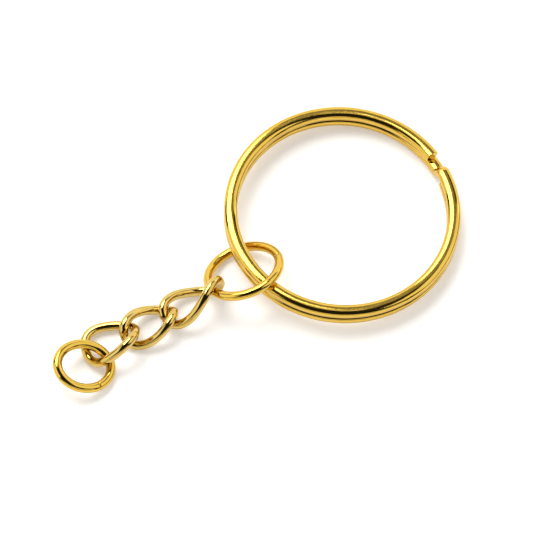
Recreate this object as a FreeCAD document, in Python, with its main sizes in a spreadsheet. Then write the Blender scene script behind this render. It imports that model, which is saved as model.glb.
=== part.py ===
import FreeCAD, Part

import math
import os

import Sketcher
from FreeCAD import Placement, Rotation, Vector

# A split key ring with a short chain, lying on a table.
#
# Frame: the origin is on the table (z = 0), on the split ring's own axis. +X points away from the
# chain, so the chain runs out along -X, and +Z is up. Lengths are millimetres, angles degrees.
# An azimuth is measured about the split ring's axis, from +X towards +Y.

# The driving dimensions. Each one is a cell of the sheet, under the same name.
DIMENSIONS = {
    # The split ring: one spring wire in two turns, flattened where the turns meet.
    "ring_outer_radius": 15.0,
    "ring_wire_width": 1.7,
    "ring_wire_height": 1.35,
    "ring_corner_radius": 0.6,
    "ring_turn_gap": 0.05,
    # The connector ring's wire holds the chain side of the split ring off the table.
    "ring_tilt": 2.92,
    # The upper turn's cut end, the step where the lower turn climbs to the upper level,
    # and the lower turn's cut end, which hides under the step's upper side.
    "free_end_azimuth": 2.6,
    "step_top_azimuth": -8.4,
    "step_span": 5.0,
    "lower_end_azimuth": -11.0,
    # The chain and both jump rings are bent from the same round wire.
    "chain_wire_radius": 0.6,
    "wire_seam_gap": 0.04,
    # Lengths and widths of the wire loops, measured between the wire's centres.
    "connector_ring_length": 9.4,
    "connector_ring_width": 9.27,
    "end_ring_length": 7.07,
    "end_ring_width": 5.89,
    # A link is bent shut round its neighbour, so no two are quite alike. Twist is end to end.
    "chain_link_1_length": 8.2,
    "chain_link_1_width": 4.33,
    "chain_link_1_twist": 120.0,
    "chain_link_2_length": 6.89,
    "chain_link_2_width": 4.22,
    "chain_link_2_twist": 98.9,
    "chain_link_3_length": 6.76,
    "chain_link_3_width": 5.37,
    "chain_link_3_twist": 48.7,
}

# Where each wire loop lies: the middle of the loop, then its yaw, pitch and roll. Every loop's
# own X axis is its long axis and points towards the split ring.
LOOP_PLACES = {
    "connector_ring": (-14.891, -0.4, 2.903, -28.83, -16.96, -24.67),
    "chain_link_1": (-22.24, -0.064, 2.119, 0.84, -8.26, -34.79),
    "chain_link_2": (-28.467, 0.252, 1.583, -2.04, -1.91, -3.97),
    "chain_link_3": (-33.762, 0.801, 1.644, -18.0, -17.76, -22.02),
    "end_ring": (-38.379, -0.442, 1.929, -22.61, 21.19, 4.96),
}
PLACE_NAMES = ("place_x", "place_y", "place_z", "yaw", "pitch", "roll")

# Superellipse exponents: 2 is an ellipse, and more makes the sides straighter.
JUMP_RING_SQUARENESS = 2.0
LINK_SQUARENESS = 2.49
# Where the two ends of each loop's wire butt, as a polar angle from its own X axis.
CONNECTOR_SEAM = 17.0
LINK_SEAM = 180.0
END_RING_SEAM = -60.0
# Points that the centreline of a loop is interpolated through.
LOOP_POINTS = 24


doc = FreeCAD.newDocument("SplitKeyRing")


# ---- the sheet ----------------------------------------------------------------------------------

sheet = doc.addObject("Spreadsheet::Sheet", "Dims")
cell_row = 0


def add_cell(alias, value):
    """Write one plain number into the sheet's next row and name it."""
    global cell_row
    cell_row += 1
    sheet.set(f"A{cell_row}", alias)
    sheet.set(f"B{cell_row}", str(value))
    sheet.setAlias(f"B{cell_row}", alias)


for alias, value in DIMENSIONS.items():
    add_cell(alias, value)
for loop_name, place in LOOP_PLACES.items():
    for part_name, value in zip(PLACE_NAMES, place):
        add_cell(f"{loop_name}_{part_name}", value)
doc.recompute()


def dim(alias):
    """The sheet's number for a name."""
    return float(sheet.get(alias))


# ---- the split ring -----------------------------------------------------------------------------

# In the ring's own frame its axis is Z and its underside is at z = 0. The lower turn runs
# anticlockwise from the foot of the step almost round to its own cut end. The upper turn runs
# clockwise from the top of the step, and its last half, up to the free cut end, is a body of its
# own, because that half is what a fingernail lifts.

LOWER_LEVEL = "0"
UPPER_LEVEL = "Dims.ring_wire_height + Dims.ring_turn_gap"
STEP_FOOT = "Dims.step_top_azimuth + Dims.step_span"


def origin_plane(body, role):
    """A body's own origin plane, by its role."""
    return next(feature for feature in body.Origin.OriginFeatures if feature.Role == role)


def wire_section(body, name, azimuth, level):
    """The flattened wire's section, upright at an azimuth, with its underside at a level."""
    sketch = body.newObject("Sketcher::SketchObject", name)
    sketch.AttachmentSupport = [(origin_plane(body, "XZ_Plane"), "")]
    sketch.MapMode = "FlatFace"
    sketch.AttachmentOffset = Placement(Vector(), Rotation(Vector(0, 1, 0), 1))
    sketch.setExpression("AttachmentOffset.Rotation.Angle", azimuth)

    outer = dim("ring_outer_radius")
    inner = outer - dim("ring_wire_width")
    low = 0.0
    high = dim("ring_wire_height")
    corner = dim("ring_corner_radius")
    sides = [
        (Vector(inner + corner, low, 0), Vector(outer - corner, low, 0)),
        (Vector(outer, low + corner, 0), Vector(outer, high - corner, 0)),
        (Vector(outer - corner, high, 0), Vector(inner + corner, high, 0)),
        (Vector(inner, high - corner, 0), Vector(inner, low + corner, 0)),
    ]
    corners = [
        Vector(outer - corner, low + corner, 0),
        Vector(outer - corner, high - corner, 0),
        Vector(inner + corner, high - corner, 0),
        Vector(inner + corner, low + corner, 0),
    ]
    for start, end in sides:
        sketch.addGeometry(Part.LineSegment(start, end), False)
    for quarter, centre in enumerate(corners):
        circle = Part.Circle(centre, Vector(0, 0, 1), corner)
        first = math.radians(90 * quarter - 90)
        sketch.addGeometry(Part.ArcOfCircle(circle, first, first + math.pi / 2), False)
    for side in range(4):
        arc = 4 + side
        sketch.addConstraint(Sketcher.Constraint("Tangent", side, 2, arc, 1))
        sketch.addConstraint(Sketcher.Constraint("Tangent", arc, 2, (side + 1) % 4, 1))
        sketch.addConstraint(Sketcher.Constraint(("Horizontal", "Vertical")[side % 2], side))
    for arc in (5, 6, 7):
        sketch.addConstraint(Sketcher.Constraint("Equal", 4, arc))

    def driven(constraint, constraint_name, expression):
        index = sketch.addConstraint(constraint)
        sketch.renameConstraint(index, constraint_name)
        sketch.setExpression(f"Constraints.{constraint_name}", expression)

    driven(Sketcher.Constraint("Radius", 4, corner), "corner", "Dims.ring_corner_radius")
    driven(Sketcher.Constraint("DistanceX", -1, 1, 1, 1, outer), "outer", "Dims.ring_outer_radius")
    driven(Sketcher.Constraint("DistanceX", 3, 1, 1, 1, outer - inner), "width", "Dims.ring_wire_width")
    driven(Sketcher.Constraint("DistanceY", 0, 1, 2, 1, high), "height", "Dims.ring_wire_height")
    if level == LOWER_LEVEL:
        sketch.addConstraint(Sketcher.Constraint("PointOnObject", 0, 1, -1))
    else:
        driven(Sketcher.Constraint("DistanceY", -1, 1, 0, 1, high), "level", level)
    return sketch


def turn(body, name, section, angle, clockwise):
    """Part of a turn: the section carried round the ring's axis."""
    revolution = body.newObject("PartDesign::Revolution", name)
    revolution.Profile = section
    revolution.ReferenceAxis = (section, ["V_Axis"])
    revolution.Reversed = clockwise
    revolution.setExpression("Angle", angle)
    return revolution


def tilt_ring(body):
    """Rest the ring on its +X edge, with the chain side raised, its axis through the origin."""
    body.Placement = Placement(Vector(), Rotation(Vector(0, 1, 0), 1))
    rise = "Dims.ring_outer_radius * sin(Dims.ring_tilt * 1 deg)"
    body.setExpression("Placement.Rotation.Angle", "Dims.ring_tilt")
    body.setExpression("Placement.Base.x", f"{rise} * tan(Dims.ring_tilt * 1 deg)")
    body.setExpression("Placement.Base.z", rise)


def make_coil():
    """The lower turn, the step and the first half of the upper turn."""
    body = doc.addObject("PartDesign::Body", "Coil")
    body.Label = "split_ring_coil"
    foot = wire_section(body, "StepFootSection", STEP_FOOT, LOWER_LEVEL)
    top = wire_section(body, "StepTopSection", "Dims.step_top_azimuth", UPPER_LEVEL)
    doc.recompute()
    turn(body, "LowerTurn", foot, f"360 + Dims.lower_end_azimuth - ({STEP_FOOT})", False)
    half_turn = "180 - Dims.free_end_azimuth + Dims.step_top_azimuth"
    turn(body, "UpperTurn", top, half_turn, True)
    step = body.newObject("PartDesign::AdditiveLoft", "Step")
    step.Profile = foot
    step.Sections = [top]
    step.Ruled = True
    tilt_ring(body)
    return body


def make_free_turn():
    """The last half of the upper turn, from the wire's free cut end back to the ring's far side."""
    body = doc.addObject("PartDesign::Body", "FreeTurn")
    body.Label = "split_ring_free_turn"
    end = wire_section(body, "FreeEndSection", "Dims.free_end_azimuth", UPPER_LEVEL)
    doc.recompute()
    turn(body, "HalfTurn", end, "180", False)
    tilt_ring(body)
    return body


# ---- the chain's wire loops ---------------------------------------------------------------------

# Each loop is one round wire bent into a closed oval whose two ends butt at a seam. A chain
# link's oval is also twisted about its long axis, so that each end lies flat in its neighbour.


def loop_point(angle, length, width, squareness, twist):
    """A point of a loop's centreline, at a polar angle about the loop's middle."""
    across = math.sin(angle)
    along = math.cos(angle)
    reach = (abs(2 * along / length) ** squareness + abs(2 * across / width) ** squareness) ** (
        -1 / squareness
    )
    x = reach * along
    side = reach * across
    turned = -math.radians(twist) * x / length
    return Vector(x, side * math.cos(turned), side * math.sin(turned))


def loop_centreline(name, length, width, squareness, twist, seam_azimuth):
    """A loop's centreline as one smooth curve that starts and ends at the wire's seam."""
    seam = math.radians(seam_azimuth)
    half_gap = dim("wire_seam_gap") / length
    span = 2 * math.pi - 2 * half_gap
    angles = [seam + half_gap + span * i / (LOOP_POINTS - 1) for i in range(LOOP_POINTS)]
    curve = Part.BSplineCurve()
    curve.interpolate([loop_point(angle, length, width, squareness, twist) for angle in angles])
    centreline = doc.addObject("Part::Feature", name)
    centreline.Shape = curve.toShape()
    return centreline


def wire_end(name, centreline):
    """The round wire's section, square across the start of a centreline."""
    edge = centreline.Shape.Edges[0]
    circle = doc.addObject("Part::Circle", name)
    circle.setExpression("Radius", "Dims.chain_wire_radius")
    direction = edge.tangentAt(edge.FirstParameter)
    circle.Placement = Placement(edge.valueAt(edge.FirstParameter), Rotation(Vector(0, 0, 1), direction))
    return circle


def wire_loop(label, centreline, section):
    """One loop of wire, laid where the sheet says."""
    loop = doc.addObject("Part::Sweep", label.title().replace("_", ""))
    loop.Label = label
    loop.Sections = [section]
    loop.Spine = (centreline, ["Edge1"])
    loop.Solid = True
    loop.Frenet = False
    middle, angles = PLACE_NAMES[:3], PLACE_NAMES[3:]
    loop.Placement = Placement(
        Vector(*(dim(f"{label}_{name}") for name in middle)),
        Rotation(*(dim(f"{label}_{name}") for name in angles)),
    )
    for axis, name in zip("xyz", middle):
        loop.setExpression(f"Placement.Base.{axis}", f"Dims.{label}_{name}")
    return loop


# ---- the sub-parts ------------------------------------------------------------------------------


def make_jump_ring(label, seam_azimuth):
    """A jump ring: a flat, slightly oval loop."""
    length, width = dim(f"{label}_length"), dim(f"{label}_width")
    centreline = loop_centreline(
        f"{label}_centreline", length, width, JUMP_RING_SQUARENESS, 0.0, seam_azimuth
    )
    return wire_loop(label, centreline, wire_end(f"{label}_wire", centreline))


def make_chain_link(label, seam_azimuth):
    """A chain link: an oval loop twisted end to end."""
    length, width, twist = (dim(f"{label}_{name}") for name in ("length", "width", "twist"))
    centreline = loop_centreline(
        f"{label}_centreline", length, width, LINK_SQUARENESS, twist, seam_azimuth
    )
    return wire_loop(label, centreline, wire_end(f"{label}_wire", centreline))


coil = make_coil()
free_turn = make_free_turn()
connector_ring = make_jump_ring("connector_ring", CONNECTOR_SEAM)
chain_links = [make_chain_link(f"chain_link_{number}", LINK_SEAM) for number in (1, 2, 3)]
end_ring = make_jump_ring("end_ring", END_RING_SEAM)
sub_parts = [coil, free_turn, connector_ring, *chain_links, end_ring]
doc.recompute()


# ---- checks and export --------------------------------------------------------------------------

for thing in doc.Objects:
    if {"Invalid", "Error"} & set(thing.State):
        raise RuntimeError(f"{thing.Label} did not compute: {thing.State}")
for part in sub_parts:
    shape = part.Shape
    if shape.isNull() or not shape.isValid() or len(shape.Solids) != 1:
        raise RuntimeError(f"{part.Label} is not one valid solid")
    if shape.Volume <= 0:
        raise RuntimeError(f"{part.Label} is inside out")

os.makedirs("parts", exist_ok=True)
for part in sub_parts:
    part.Shape.exportStep(f"parts/{part.Label}.step")
    box = part.Shape.BoundBox
    size = f"{box.XLength:.2f} x {box.YLength:.2f} x {box.ZLength:.2f} mm"
    print(f"{part.Label}: {size}, {part.Shape.Volume:.2f} mm3, lowest {box.ZMin:.3f}")
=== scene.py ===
import math

import bpy
import numpy as np
from mathutils import Euler, Matrix, Vector


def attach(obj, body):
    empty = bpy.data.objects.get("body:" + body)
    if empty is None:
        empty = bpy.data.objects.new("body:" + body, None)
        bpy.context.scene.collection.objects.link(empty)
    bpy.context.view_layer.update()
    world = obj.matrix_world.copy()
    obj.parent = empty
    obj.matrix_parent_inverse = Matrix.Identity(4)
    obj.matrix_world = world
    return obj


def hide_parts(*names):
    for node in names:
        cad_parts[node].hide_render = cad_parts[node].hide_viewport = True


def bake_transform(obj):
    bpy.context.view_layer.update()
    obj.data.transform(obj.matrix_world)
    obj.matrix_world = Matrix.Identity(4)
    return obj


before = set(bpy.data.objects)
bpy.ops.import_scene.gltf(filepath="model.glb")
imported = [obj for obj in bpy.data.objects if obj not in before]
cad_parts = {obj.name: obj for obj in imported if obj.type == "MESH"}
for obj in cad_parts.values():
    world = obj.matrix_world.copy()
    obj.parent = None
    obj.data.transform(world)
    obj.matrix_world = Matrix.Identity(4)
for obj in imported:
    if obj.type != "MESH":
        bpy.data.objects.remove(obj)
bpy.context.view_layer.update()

# A gold-plated split key ring with a short chain, lying on a white table.
#
# The row frame has its origin on the table under the split ring's axis, with the chain running
# out along -X. Sizes below are millimetres and angles are degrees, as in the CAD source, and
# mesh points are turned into metres when they are written.
MM = 0.001

# ---- the split ring's sizes, as in the CAD ------------------------------------------------------
RING_OUTER_RADIUS = 15.0
RING_WIRE_WIDTH = 1.7
RING_WIRE_HEIGHT = 1.35
RING_TURN_GAP = 0.05
RING_TILT = 2.92
FREE_END_AZIMUTH = 2.6
STEP_TOP_AZIMUTH = -8.4
STEP_SPAN = 5.0
LOWER_END_AZIMUTH = -11.0
# The CAD's section is a rounded rectangle. This one is a superellipse, where 2 is an ellipse.
RING_SECTION_SQUARENESS = 2.5

# ---- the chain's sizes and places, as in the CAD ------------------------------------------------
CHAIN_WIRE_RADIUS = 0.6
WIRE_SEAM_GAP = 0.04
ROUND = 2.0
LINK_SQUARENESS = 2.49
LINK_SEAM = 180.0
# name: (length, width), squareness, twist, seam azimuth, middle, (yaw, pitch, roll)
LOOPS = {
    "connector_ring": (
        (9.4, 9.27), ROUND, 0.0, 17.0,
        (-14.891, -0.4, 2.903), (-28.83, -16.96, -24.67),
    ),
    "chain_link_1": (
        (8.2, 4.33), LINK_SQUARENESS, 120.0, LINK_SEAM,
        (-22.24, -0.064, 2.119), (0.84, -8.26, -34.79),
    ),
    "chain_link_2": (
        (6.89, 4.22), LINK_SQUARENESS, 98.9, LINK_SEAM,
        (-28.467, 0.252, 1.583), (-2.04, -1.91, -3.97),
    ),
    "chain_link_3": (
        (6.76, 5.37), LINK_SQUARENESS, 48.7, LINK_SEAM,
        (-33.762, 0.801, 1.644), (-18.0, -17.76, -22.02),
    ),
    "end_ring": (
        (7.07, 5.89), ROUND, 0.0, -60.0,
        (-38.379, -0.442, 1.929), (-22.61, 21.19, 4.96),
    ),
}

# ---- the camera and light -----------------------------------------------------------------------
CAMERA_AZIMUTH = -32.4
CAMERA_ELEVATION = 64.6
CAMERA_DISTANCE = 500.0
CAMERA_TARGET = (-11.39, -0.24, 0.0)
CAMERA_LENS = 267.1
# How far the lights stand from the object, in metres.
LIGHT_DISTANCE = 1.0
# The table is a lit white sweep, so part of its light is its own.
TABLE_GLOW = 0.27
TABLE_HALF_SIZE = 2.0

# ---- details that only the visual has -----------------------------------------------------------
# How far the cut ends are rounded off: the lower turn's, the free end's and a loop's at its seam.
LOWER_END_REACH = 2.5
FREE_END_REACH = 0.12
SEAM_BEVEL = 0.08
# A ring end's size at its cut face, as a share of the full section.
CUT_FACE_SIZE = 0.90
# Degrees between stations along the ring, and where it is finer, over the step.
RING_STATION = 0.4
STEP_STATION = 0.1
# Extra stations close to a cut end, in degrees from it.
LOWER_END_STATIONS = (0, 0.03, 0.1, 0.25)
FREE_END_STATIONS = (0, 0.03, 0.08, 0.15, 0.25, 0.4)


# ---- meshes -------------------------------------------------------------------------------------


def superellipse(angle, half_width, half_height, squareness):
    """A point of a superellipse at a parameter angle."""
    c, s = math.cos(angle), math.sin(angle)
    power = 2 / squareness
    return (
        half_width * math.copysign(abs(c) ** power, c),
        half_height * math.copysign(abs(s) ** power, s),
    )


def even_outline(half_width, half_height, squareness, count, samples=2000):
    """A superellipse's outline in evenly spaced points, found on a finely sampled one."""
    fine = [
        superellipse(2 * math.pi * i / samples, half_width, half_height, squareness)
        for i in range(samples + 1)
    ]
    fine = np.array(fine)
    steps = np.r_[0, np.cumsum(np.hypot(*np.diff(fine, axis=0).T))]
    at = np.linspace(0, steps[-1], count, endpoint=False)
    return np.stack([np.interp(at, steps, fine[:, 0]), np.interp(at, steps, fine[:, 1])], 1)


def tube(name, rings, lengths, capped):
    """A tube through rings of points (mm, row frame). capped is (start, end)."""
    rings = np.asarray(rings) * MM
    stations, around = rings.shape[:2]
    faces = []
    for i in range(stations - 1):
        for j in range(around):
            k = (j + 1) % around
            here, ahead = i * around, (i + 1) * around
            faces.append((here + j, ahead + j, ahead + k, here + k))
    if capped[0]:
        faces.append(tuple(range(around)))
    if capped[1]:
        faces.append(tuple((stations - 1) * around + j for j in reversed(range(around))))
    mesh = bpy.data.meshes.new(name)
    mesh.from_pydata(rings.reshape(-1, 3).tolist(), [], faces)
    # u runs along the wire and v around it, both in millimetres, for the drawing marks.
    uv = mesh.uv_layers.new(name="along_and_around")
    girth = np.linalg.norm(rings[0] - np.roll(rings[0], 1, 0), axis=1).sum() / MM
    for loop in mesh.loops:
        station, place = divmod(loop.vertex_index, around)
        uv.data[loop.index].uv = (lengths[station], girth * place / around)
    mesh.polygons.foreach_set("use_smooth", [True] * len(mesh.polygons))
    mesh.validate()
    obj = bpy.data.objects.new(name, mesh)
    bpy.context.scene.collection.objects.link(obj)
    return obj


def frame_matrix():
    """The split ring's own frame in the row frame: a tilt about +Y, resting on its +X edge."""
    rise = RING_OUTER_RADIUS * math.sin(math.radians(RING_TILT))
    turn = Matrix.Rotation(math.radians(RING_TILT), 4, "Y")
    return Matrix.Translation((rise * math.tan(math.radians(RING_TILT)), 0, rise)) @ turn


def sweep_ring(name, azimuths, level, outline, capped, shrink=None):
    """The flattened wire along the ring. level(azimuth) is the wire's middle height and slope."""
    place = frame_matrix()
    middle = RING_OUTER_RADIUS - RING_WIRE_WIDTH / 2
    rings, lengths = [], []
    for azimuth in azimuths:
        a = math.radians(azimuth)
        height, slope = level(azimuth)
        radial = Vector((math.cos(a), math.sin(a), 0))
        along = Vector((-math.sin(a), math.cos(a), slope)).normalized()
        up = radial.cross(along)
        if up.z < 0:
            up.negate()
        size = 1.0 if shrink is None else shrink(azimuth)
        centre = radial * middle + Vector((0, 0, height))
        rings.append([place @ (centre + radial * x * size + up * y * size) for x, y in outline])
        lengths.append(a * middle)
    return tube(name, [[tuple(p) for p in ring] for ring in rings], lengths, capped)


LOW = RING_WIRE_HEIGHT / 2
HIGH = LOW + RING_WIRE_HEIGHT + RING_TURN_GAP


def smooth(x):
    """0 below 0, 1 above 1, and smooth between."""
    x = min(max(x, 0.0), 1.0)
    return x * x * (3 - 2 * x)


def coil_level(azimuth):
    """The coil's height and slope. Azimuths fall along it: lower turn, step up, upper turn."""
    step = smooth((STEP_TOP_AZIMUTH + STEP_SPAN - azimuth) / STEP_SPAN)
    nudge = 0.05
    ahead = smooth((STEP_TOP_AZIMUTH + STEP_SPAN - azimuth - nudge) / STEP_SPAN)
    slope = (step - ahead) / math.radians(nudge) * (HIGH - LOW) / RING_OUTER_RADIUS
    return LOW + (HIGH - LOW) * step, -slope


def upper_level(azimuth):
    """The upper turn's height and slope, the same all along it."""
    return HIGH, 0.0


def rounded_end(at, reach):
    """Rounds a cut wire off over its last reach of length."""

    def size(azimuth):
        distance = abs(azimuth - at) / math.degrees(reach / RING_OUTER_RADIUS)
        if distance >= 1:
            return 1.0
        return CUT_FACE_SIZE + (1 - CUT_FACE_SIZE) * math.sqrt(1 - (1 - distance) ** 2)

    return size


SECTION = even_outline(RING_WIRE_WIDTH / 2, RING_WIRE_HEIGHT / 2, RING_SECTION_SQUARENESS, 72)


def make_ring_coil():
    """The lower turn, the step and the upper turn's first half, as one wire."""
    start = 360 + LOWER_END_AZIMUTH
    step_foot = STEP_TOP_AZIMUTH + STEP_SPAN
    finish = FREE_END_AZIMUTH - 180
    azimuths = list(start - np.array(LOWER_END_STATIONS))
    azimuths += list(np.arange(start - 0.5, step_foot + 1, -RING_STATION))
    azimuths += list(np.arange(step_foot + 1, STEP_TOP_AZIMUTH - 1, -STEP_STATION))
    azimuths += list(np.arange(STEP_TOP_AZIMUTH - 1, finish, -RING_STATION)) + [finish]
    cut = rounded_end(start, LOWER_END_REACH)
    obj = sweep_ring("ring_coil", azimuths, coil_level, SECTION, (True, False), cut)
    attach(obj, "split_ring")
    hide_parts("split_ring_coil")
    return obj


def make_ring_free_turn():
    """The upper turn's last half, from its free end round to the far side."""
    end = FREE_END_AZIMUTH
    azimuths = list(end + np.array(FREE_END_STATIONS))
    azimuths += list(np.arange(end + 0.6, end + 180, RING_STATION))
    azimuths.append(end + 180)
    cut = rounded_end(end, FREE_END_REACH)
    obj = sweep_ring("ring_free_turn", azimuths, upper_level, SECTION, (True, False), cut)
    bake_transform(obj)
    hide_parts("split_ring_free_turn")
    return obj


def loop_point(angle, size, squareness, twist):
    """A point of a wire loop's centreline in its own frame."""
    length, width = size
    along, across = math.cos(angle), math.sin(angle)
    spans = abs(2 * along / length) ** squareness + abs(2 * across / width) ** squareness
    reach = spans ** (-1 / squareness)
    x, side = reach * along, reach * across
    turned = -math.radians(twist) * x / length
    return Vector((x, side * math.cos(turned), side * math.sin(turned)))


def make_loop(
    name, size, squareness, twist, seam_azimuth, middle, angles, stations=420, around=40
):
    """One round wire bent into a closed loop, whose two cut ends butt at the seam."""
    yaw, pitch, roll = (math.radians(a) for a in angles)
    place = Matrix.Translation(middle) @ Euler((roll, pitch, yaw), "XYZ").to_matrix().to_4x4()
    seam = math.radians(seam_azimuth)
    half_gap = WIRE_SEAM_GAP / size[0]
    turns = np.linspace(seam + half_gap, seam + 2 * math.pi - half_gap, stations)
    path = [place @ loop_point(a, size, squareness, twist) for a in turns]
    tangents = []
    for i in range(stations):
        tangents.append((path[min(i + 1, stations - 1)] - path[max(i - 1, 0)]).normalized())
    side = tangents[0].orthogonal().normalized()
    travelled, rings, lengths = 0.0, [], []
    for i, (point, tangent) in enumerate(zip(path, tangents)):
        if i:
            side = (tangents[i - 1].rotation_difference(tangent) @ side).normalized()
            travelled += (point - path[i - 1]).length
        other = tangent.cross(side)
        rings.append((point, side.copy(), other))
        lengths.append(travelled)
    points = []
    for (point, side, other), s in zip(rings, lengths):
        near = min(s, travelled - s)
        radius = CHAIN_WIRE_RADIUS
        if near < SEAM_BEVEL:
            radius -= SEAM_BEVEL * (1 - math.sqrt(1 - (1 - near / SEAM_BEVEL) ** 2))
        circle = []
        for j in range(around):
            t = 2 * math.pi * j / around
            circle.append(tuple(point + radius * (math.cos(t) * side + math.sin(t) * other)))
        points.append(circle)
    obj = tube(name + "_wire", points, lengths, (True, True))
    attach(obj, name)
    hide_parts(name)
    return obj


# ---- materials ----------------------------------------------------------------------------------


def plated_gold(name, scratch_depth, colour):
    """Bright gold-coloured plating over drawn wire, with faint lines along it and a mottle."""
    material = bpy.data.materials.new(name)
    material.use_nodes = True
    nodes, links = material.node_tree.nodes, material.node_tree.links
    shader = nodes["Principled BSDF"]
    shader.inputs["Metallic"].default_value = 1.0

    wire = nodes.new("ShaderNodeUVMap")
    wire.uv_map = "along_and_around"
    stretch = nodes.new("ShaderNodeMapping")
    stretch.inputs["Scale"].default_value = (0.35, 9.0, 1.0)
    links.new(wire.outputs["UV"], stretch.inputs["Vector"])
    lines = nodes.new("ShaderNodeTexNoise")
    lines.inputs["Scale"].default_value = 1.0
    lines.inputs["Detail"].default_value = 4.0
    links.new(stretch.outputs["Vector"], lines.inputs["Vector"])

    spread = nodes.new("ShaderNodeMapping")
    spread.inputs["Scale"].default_value = (0.25, 0.5, 1.0)
    links.new(wire.outputs["UV"], spread.inputs["Vector"])
    mottle = nodes.new("ShaderNodeTexNoise")
    mottle.inputs["Scale"].default_value = 1.3
    mottle.inputs["Detail"].default_value = 3.0
    links.new(spread.outputs["Vector"], mottle.inputs["Vector"])

    tint = nodes.new("ShaderNodeMix")
    tint.data_type = "RGBA"
    deep, light = colour
    tint.inputs["A"].default_value = (*deep, 1)
    tint.inputs["B"].default_value = (*light, 1)
    links.new(mottle.outputs["Fac"], tint.inputs["Factor"])
    links.new(tint.outputs["Result"], shader.inputs["Base Color"])

    gloss = nodes.new("ShaderNodeMapRange")
    gloss.inputs["From Min"].default_value = 0.3
    gloss.inputs["From Max"].default_value = 0.7
    gloss.inputs["To Min"].default_value = 0.05
    gloss.inputs["To Max"].default_value = 0.13
    links.new(lines.outputs["Fac"], gloss.inputs["Value"])
    links.new(gloss.outputs["Result"], shader.inputs["Roughness"])

    bump = nodes.new("ShaderNodeBump")
    bump.inputs["Strength"].default_value = scratch_depth
    bump.inputs["Distance"].default_value = 0.00002
    links.new(lines.outputs["Fac"], bump.inputs["Height"])
    links.new(bump.outputs["Normal"], shader.inputs["Normal"])
    return material


def finish_piece(obj, material):
    obj.data.materials.append(material)


# ---- the object ---------------------------------------------------------------------------------

# The twisted links are plated a little paler than the three rings.
RING_COLOUR = ((0.62, 0.39, 0.055), (0.74, 0.49, 0.09))
LINK_COLOUR = ((0.56, 0.37, 0.07), (0.70, 0.51, 0.17))
ring_gold = plated_gold("ring_gold", 0.25, RING_COLOUR)
link_gold = plated_gold("link_gold", 0.2, LINK_COLOUR)

for ring_piece in (make_ring_coil(), make_ring_free_turn()):
    finish_piece(ring_piece, ring_gold)
for loop_name, loop_shape in LOOPS.items():
    gold = link_gold if loop_name.startswith("chain_link") else ring_gold
    finish_piece(make_loop(loop_name, *loop_shape), gold)


# ---- the table, light and camera ----------------------------------------------------------------


def make_table():
    """A plain white table, much larger than the view."""
    half = TABLE_HALF_SIZE
    mesh = bpy.data.meshes.new("table")
    corners = [(-half, -half, 0), (half, -half, 0), (half, half, 0), (-half, half, 0)]
    mesh.from_pydata(corners, [], [(0, 1, 2, 3)])
    table = bpy.data.objects.new("table", mesh)
    bpy.context.scene.collection.objects.link(table)
    paper = bpy.data.materials.new("white_paper")
    paper.use_nodes = True
    shader = paper.node_tree.nodes["Principled BSDF"]
    shader.inputs["Base Color"].default_value = (0.93, 0.92, 0.90, 1)
    shader.inputs["Roughness"].default_value = 0.9
    shader.inputs["Emission Color"].default_value = (1.0, 0.985, 0.97, 1)
    shader.inputs["Emission Strength"].default_value = TABLE_GLOW
    table.data.materials.append(paper)


def direction(azimuth, elevation):
    """A unit vector towards a compass direction, with 0 at the camera's side of the table."""
    a, e = math.radians(CAMERA_AZIMUTH + azimuth), math.radians(elevation)
    return Vector((math.sin(a) * math.cos(e), -math.cos(a) * math.cos(e), math.sin(e)))


def softbox(name, azimuth, elevation, radiance, colour=(1, 1, 1)):
    """A large soft light that faces the object and fills a range of directions.

    azimuth and elevation are (from, to), and radiance is how bright it looks, where 1 is white.
    """
    middle_azimuth, half_width = sum(azimuth) / 2, (azimuth[1] - azimuth[0]) / 2
    middle_elevation, half_height = sum(elevation) / 2, (elevation[1] - elevation[0]) / 2
    light = bpy.data.lights.new(name, "AREA")
    light.shape = "RECTANGLE"
    level = math.cos(math.radians(middle_elevation))
    light.size = 2 * math.tan(math.radians(half_width)) * level * LIGHT_DISTANCE
    light.size_y = 2 * math.tan(math.radians(half_height)) * LIGHT_DISTANCE
    light.energy = radiance * math.pi * light.size * light.size_y
    light.color = colour
    lamp = bpy.data.objects.new(name, light)
    bpy.context.scene.collection.objects.link(lamp)
    away = direction(middle_azimuth, middle_elevation)
    lamp.location = Vector(CAMERA_TARGET) * MM + away * LIGHT_DISTANCE
    lamp.rotation_euler = away.to_track_quat("Z", "Y").to_euler()
    return lamp


def make_light():
    """Softboxes overhead, behind, at both sides and low in front, and dark round the camera."""
    world = bpy.data.worlds.new("studio")
    bpy.context.scene.world = world
    world.use_nodes = True
    world.node_tree.nodes["Background"].inputs["Color"].default_value = (1.0, 0.97, 0.93, 1)
    world.node_tree.nodes["Background"].inputs["Strength"].default_value = 0.02
    softbox("back_low_box", (120, 240), (3, 44), 1.35)
    softbox("back_fill_box", (150, 215), (46, 68), 0.32)
    softbox("top_box", (150, 215), (69, 80), 0.9)
    softbox("key_box", (-178, -112), (43, 73), 6.5)
    softbox("left_box", (-110, -50), (6, 52), 1.3)
    softbox("right_box", (60, 130), (14, 66), 1.25)
    softbox("front_low_box", (-50, 50), (4, 30), 0.9)


def make_camera():
    """A long lens from high on the near side."""
    camera_data = bpy.data.cameras.new("camera")
    camera = bpy.data.objects.new("camera", camera_data)
    bpy.context.scene.collection.objects.link(camera)
    away = direction(0, CAMERA_ELEVATION)
    camera.location = (Vector(CAMERA_TARGET) + away * CAMERA_DISTANCE) * MM
    camera.rotation_mode = "QUATERNION"
    camera.rotation_quaternion = away.to_track_quat("Z", "Y")
    camera_data.lens = CAMERA_LENS
    camera_data.clip_start = 0.01
    camera_data.clip_end = 20
    bpy.context.scene.camera = camera


make_table()
make_light()
make_camera()
bpy.context.scene.view_settings.view_transform = "Standard"
